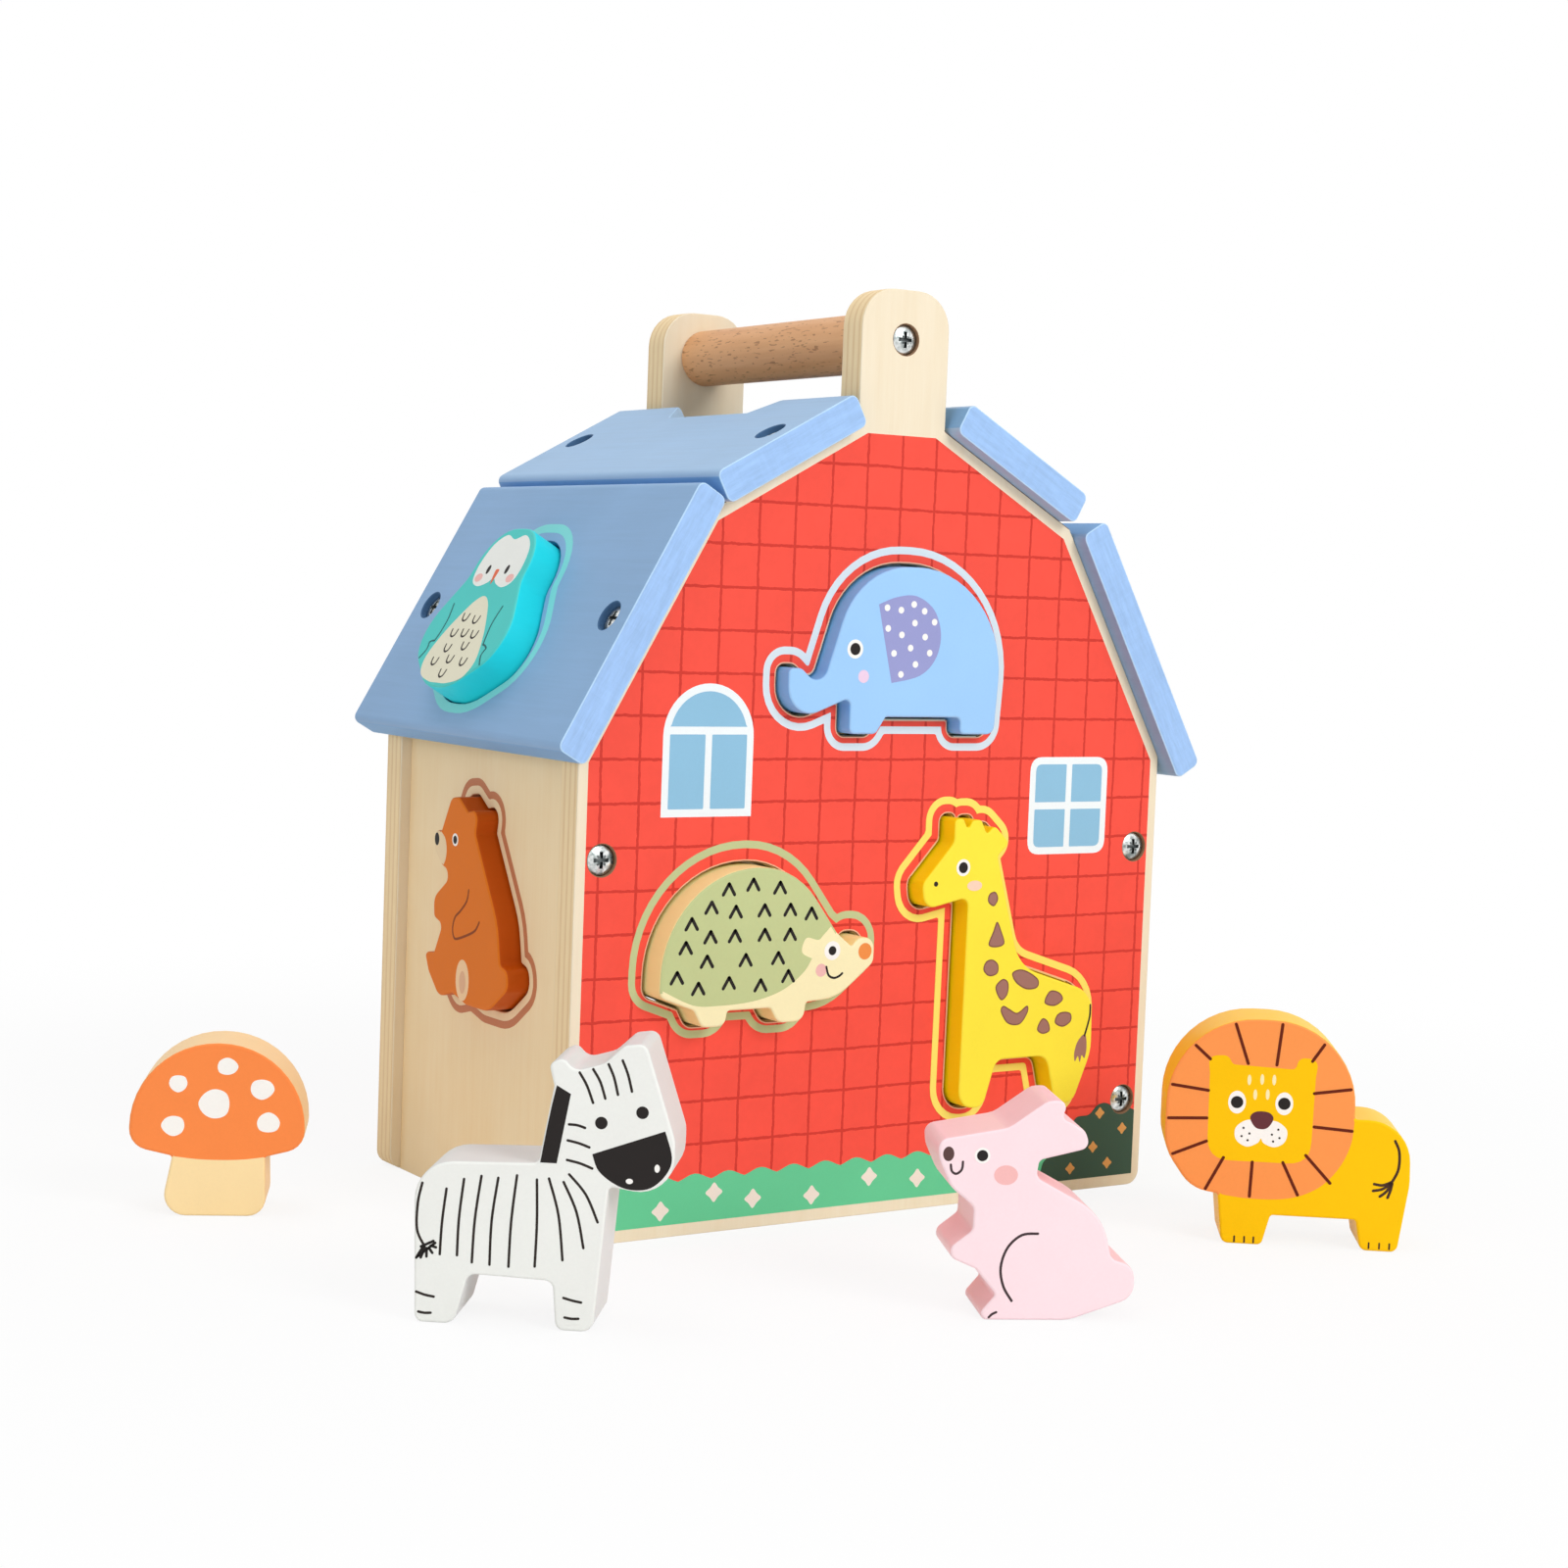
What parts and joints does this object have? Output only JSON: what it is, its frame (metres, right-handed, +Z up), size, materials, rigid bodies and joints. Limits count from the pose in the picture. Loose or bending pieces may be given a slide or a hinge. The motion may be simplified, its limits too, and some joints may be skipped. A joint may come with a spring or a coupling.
{
  "type": "wooden shape sorter",
  "caption": "Gambrel-roofed wooden barn with a carry rod, outline holes in walls and roof, a sliding floor, and animal blocks that post through the holes.",
  "frame": {"origin": "on the ground under the middle of the barn", "axes": "X to the right as seen from the front, Y from the front to the back, Z up"},
  "size_m": [0.2951, 0.2297, 0.246],
  "materials": {
    "birch_ply": "sanded birch plywood, clear lacquer over printed faces",
    "beech": "turned beech rod, clear lacquer",
    "roof_paint": "wood painted light blue, grain showing through",
    "zinc_steel": "zinc-plated steel",
    "elephant_paint": "wood painted blue with a printed face",
    "hedgehog_paint": "wood painted peach with a printed face",
    "giraffe_paint": "wood painted amber with a printed face",
    "owl_paint": "wood painted teal with a printed face",
    "bear_paint": "wood painted brown with a printed face",
    "zebra_paint": "wood painted white with a printed face",
    "rabbit_paint": "wood painted pink with a printed face",
    "lion_paint": "wood painted yellow with a printed face",
    "mushroom_paint": "wood painted cream with a printed cap"
  },
  "bodies": {
    "house": {"front_gable": "birch_ply", "back_gable": "birch_ply", "left_wall": "birch_ply", "right_wall": "birch_ply", "left_upper_roof": "roof_paint", "right_upper_roof": "roof_paint", "left_lower_roof": "roof_paint", "right_lower_roof": "roof_paint", "handle_rod": "beech", "handle_screws": "zinc_steel", "front_wall_screws": "zinc_steel", "back_wall_screws": "zinc_steel", "left_roof_screws": "zinc_steel", "right_roof_screws": "zinc_steel"},
    "sliding_floor": {"floor_panel": "birch_ply"},
    "elephant": {"elephant_block": "elephant_paint"},
    "hedgehog": {"hedgehog_block": "hedgehog_paint"},
    "giraffe": {"giraffe_block": "giraffe_paint"},
    "owl": {"owl_block": "owl_paint"},
    "bear": {"bear_block": "bear_paint"},
    "zebra": {"zebra_block": "zebra_paint"},
    "rabbit": {"rabbit_block": "rabbit_paint"},
    "lion": {"lion_block": "lion_paint"},
    "mushroom": {"mushroom_block": "mushroom_paint"}
  },
  "joints": [
    {"name": "floor_slide", "type": "slide", "parent": "house", "child": "sliding_floor", "axis": [0, 1, 0], "range_m": [0, 0.09]},
    {"name": "elephant_post", "type": "slide", "parent": "house", "child": "elephant", "axis": [0, -1, 0], "range_m": [-0.013, 0.03]},
    {"name": "hedgehog_post", "type": "slide", "parent": "house", "child": "hedgehog", "axis": [0, -1, 0], "range_m": [-0.013, 0.03]},
    {"name": "giraffe_post", "type": "slide", "parent": "house", "child": "giraffe", "axis": [0, -1, 0], "range_m": [-0.013, 0.03]},
    {"name": "owl_post", "type": "slide", "parent": "house", "child": "owl", "axis": [-0.8682, 0, 0.4961], "range_m": [-0.013, 0.03]},
    {"name": "bear_post", "type": "slide", "parent": "house", "child": "bear", "axis": [-1, 0, 0], "range_m": [-0.013, 0.03]},
    {"name": "zebra_lift", "type": "slide", "parent": "house", "child": "zebra", "axis": [0, 0, 1], "range_m": [0, 0.1]},
    {"name": "rabbit_lift", "type": "slide", "parent": "house", "child": "rabbit", "axis": [0, 0, 1], "range_m": [0, 0.1]},
    {"name": "lion_lift", "type": "slide", "parent": "house", "child": "lion", "axis": [0, 0, 1], "range_m": [0, 0.1]},
    {"name": "mushroom_lift", "type": "slide", "parent": "house", "child": "mushroom", "axis": [0, 0, 1], "range_m": [0, 0.1]}
  ]
}
